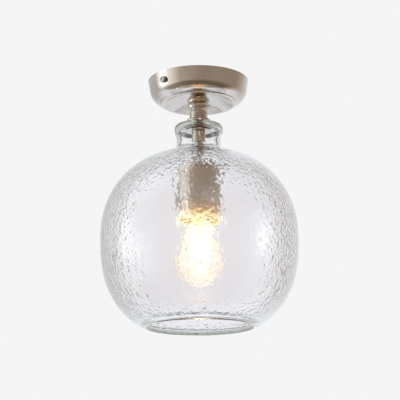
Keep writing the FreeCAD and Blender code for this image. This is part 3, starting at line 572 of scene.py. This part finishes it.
DIMPLE_SIZE = 5.6
DIMPLE_DEPTH = 0.38
DIMPLE_RISE = 0.065
WAVE_SIZE = 11.0
WAVE_DEPTH = 0.10
SKIN = 0.02  # the whole outside is drawn in by this much
FADE_ROWS = 8.0
NECK_ROWS, LIP_ROWS = 2, 6  # rows past the outside that the dimples fade out over
SMOOTH_ABOVE, FADE_HEIGHT, NECK_SHARE = -86.0, 12.0, 0.1

FLANGE = [(5.2, -49.4), (10.9, -49.4), (11.6, -49.7), (13.2, -50.0), (14.6, -50.5),
          (15.4, -51.2), (15.6, -52.0), (15.6, -55.6), (15.2, -56.0), (5.2, -56.0)]
FLANGE_TURNS = 96
FLANGE_SHARP = math.radians(35)
NODE_SHARP = math.radians(28)


def globe_z(r, inset, upper):
    """Height of the globe's meridian at a radius, drawn in by inset."""
    reach, power = (UPPER_REACH, UPPER_POWER) if upper else (LOWER_REACH, LOWER_POWER)
    rise = (reach - inset) * (1 - (r / (GLOBE_R - inset)) ** power) ** (1 / power)
    return GLOBE_CENTRE_Z + rise if upper else GLOBE_CENTRE_Z - rise


def spaced(points, step):
    """The same line with points an even step apart."""
    line = np.array(points, float)
    along = np.concatenate([[0], np.cumsum(np.linalg.norm(np.diff(line, axis=0), axis=1))])
    count = max(2, int(round(along[-1] / step)) + 1)
    where = np.linspace(0, along[-1], count)
    return np.stack([np.interp(where, along, line[:, 0]), np.interp(where, along, line[:, 1])], 1)


def smooth_line(points, per_span=12):
    """A smooth curve through points, with each span cut in equal parts."""
    p = np.array(points, float)
    ends = np.vstack([2 * p[0] - p[1], p, 2 * p[-1] - p[-2]])
    line = []
    for k in range(1, len(ends) - 2):
        a, b, c, d = ends[k - 1:k + 3]
        for t in np.arange(per_span) / per_span:
            line.append(0.5 * (2 * b + (c - a) * t + (2 * a - 5 * b + 4 * c - d) * t ** 2
                               + (3 * b - a - 3 * c + d) * t ** 3))
    line.append(p[-1])
    return np.array(line)


def arc(centre, radius, start, end, count):
    """Points on an arc, angles in degrees."""
    angles = np.radians(np.linspace(start, end, count))
    return np.stack([centre[0] + radius * np.cos(angles), centre[1] + radius * np.sin(angles)], 1)


def globe_line(start_r, end_r, inset):
    """Points down the globe, from a radius on its top to one at its mouth."""
    side = GLOBE_R - inset
    first = math.acos(start_r / side)
    last = math.acos(end_r / side)
    upper = [(side * math.cos(a), globe_z(side * math.cos(a), inset, True))
             for a in np.linspace(first, 0.0, GLOBE_POINTS)]
    lower = [(side * math.cos(a), globe_z(side * math.cos(a), inset, False))
             for a in np.linspace(0.0, last, GLOBE_POINTS)]
    return np.array(upper + lower[1:])


def outside_line():
    """The shade's outside, from the neck's corner to the mouth."""
    join_z = globe_z(NECK_JOIN_R, 0, True)
    slope = globe_z(NECK_JOIN_R + 1, 0, True) - join_z
    neck = smooth_line([(NECK_R, GLASS_TOP - NECK_CORNER), *NECK_OUTSIDE,
                        (NECK_JOIN_R - 3, join_z - 3 * slope), (NECK_JOIN_R, join_z)])
    return spaced(np.vstack([neck, globe_line(NECK_JOIN_R, LIP_EDGE_R, 0)[1:]]), OUTSIDE_STEP)


def lip_line():
    """The rounded bead at the mouth."""
    edge_z = globe_z(LIP_EDGE_R, 0, False)
    rise = globe_z(LIP_EDGE_R + 0.5, 0, False) - globe_z(LIP_EDGE_R - 0.5, 0, False)
    lean = math.atan2(rise, 1.0)
    centre = (LIP_EDGE_R - LIP_BEAD_R * math.sin(lean), edge_z + LIP_BEAD_R * math.cos(lean))
    start = math.degrees(lean) - 90
    return arc(centre, LIP_BEAD_R, start, start - LIP_TURN, LIP_POINTS)


def inside_line():
    """The shade's inside, from the mouth up to the closed top and out through its hole."""
    under = GLASS_TOP - GLASS_TOP_THICK
    join_z = globe_z(NECK_JOIN_R, GLASS_WALL, True)
    globe = spaced(globe_line(NECK_JOIN_R, LIP_EDGE_R + 1.0, GLASS_WALL)[::-1], INSIDE_STEP)
    neck = smooth_line([(NECK_JOIN_R, join_z), (NECK_JOIN_R - 6, join_z + 1.0), *NECK_INSIDE,
                        (NECK_FLAT[0], under)], 4)
    flat = [(r, under) for r in (*NECK_FLAT[1:], GLASS_HOLE_R + HOLE_CHAMFER)]
    hole = [(GLASS_HOLE_R, under + HOLE_CHAMFER), (GLASS_HOLE_R, under + GLASS_TOP_THICK / 2),
            (GLASS_HOLE_R, GLASS_TOP - HOLE_CHAMFER)]
    return np.vstack([globe[1:], neck[1:], flat, hole])


def make_shade():
    """Hammered shade: closed neck, globe and rounded lip, with shallow dimples outside."""
    flat_edge = NECK_R - NECK_CORNER
    top = np.array([(r, GLASS_TOP) for r in np.linspace(GLASS_HOLE_R + HOLE_CHAMFER, flat_edge,
                                                        TOP_POINTS)])
    shoulder = arc((flat_edge, GLASS_TOP - NECK_CORNER), NECK_CORNER, 90, 0, CORNER_POINTS)[1:]
    outside = outside_line()
    meridian = np.vstack([top, shoulder, outside[1:], lip_line()[1:], inside_line()])
    first = len(top) + len(shoulder)
    last = first + len(outside) - 1

    def dimples(points, rows):
        """How far the points stand out, in mm; it fades out at the lip and on the neck."""
        depth = np.zeros(len(points))
        rows_in = np.minimum(rows - first + NECK_ROWS, last + LIP_ROWS - rows)
        fade = np.clip(rows_in / FADE_ROWS, 0, 1)
        for k in np.nonzero(rows_in > 0)[0]:
            point = Vector(points[k])
            near = noise.voronoi(point / DIMPLE_SIZE, distance_metric="DISTANCE")[0]
            depth[k] = DIMPLE_DEPTH * near[0] ** 2 - DIMPLE_RISE
            depth[k] += WAVE_DEPTH * noise.noise(point / WAVE_SIZE)
        neck_fade = np.clip((SMOOTH_ABOVE - points[:, 2]) / FADE_HEIGHT, NECK_SHARE, 1)
        return depth * fade * neck_fade - SKIN

    shade = lathe("hammered_shade", meridian, GLOBE_TURNS, dimples)
    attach(shade, "lantern")
    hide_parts("glass_shade")
    return shade


def make_flange():
    """The stem's flange, with the crisp edge that shows just above the glass."""
    flange = lathe("turned_flange", FLANGE, FLANGE_TURNS)
    flange.data.set_sharp_from_angle(angle=FLANGE_SHARP)
    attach(flange, "lantern")
    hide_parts("stem_flange")
    return flange


def dress_nodes(looks):
    """Each CAD piece that shows gets the material of its slot in the record."""
    for part in frame["record"]["subparts"]:
        node = NODES[part["node"]]
        node.data.polygons.foreach_set("use_smooth", [True] * len(node.data.polygons))
        node.data.set_sharp_from_angle(angle=NODE_SHARP)
        # The socket cup takes the nickel with painted bulb light on its lower end.
        look = "cup_nickel_painted_glow" if part["node"] == "socket_cup" else part["material_slot"]
        for slot in node.material_slots:
            slot.material = looks[look]


make_camera()
make_world()
make_floor()
LOOKS = make_materials()
dress_nodes(LOOKS)
shade_piece = make_shade()
shade_piece.data.materials.append(LOOKS["shade_glass"])
make_flange().data.materials.append(LOOKS["nickel_turned"])
make_lights(shade_piece)

bpy.context.scene.view_settings.view_transform = "Standard"
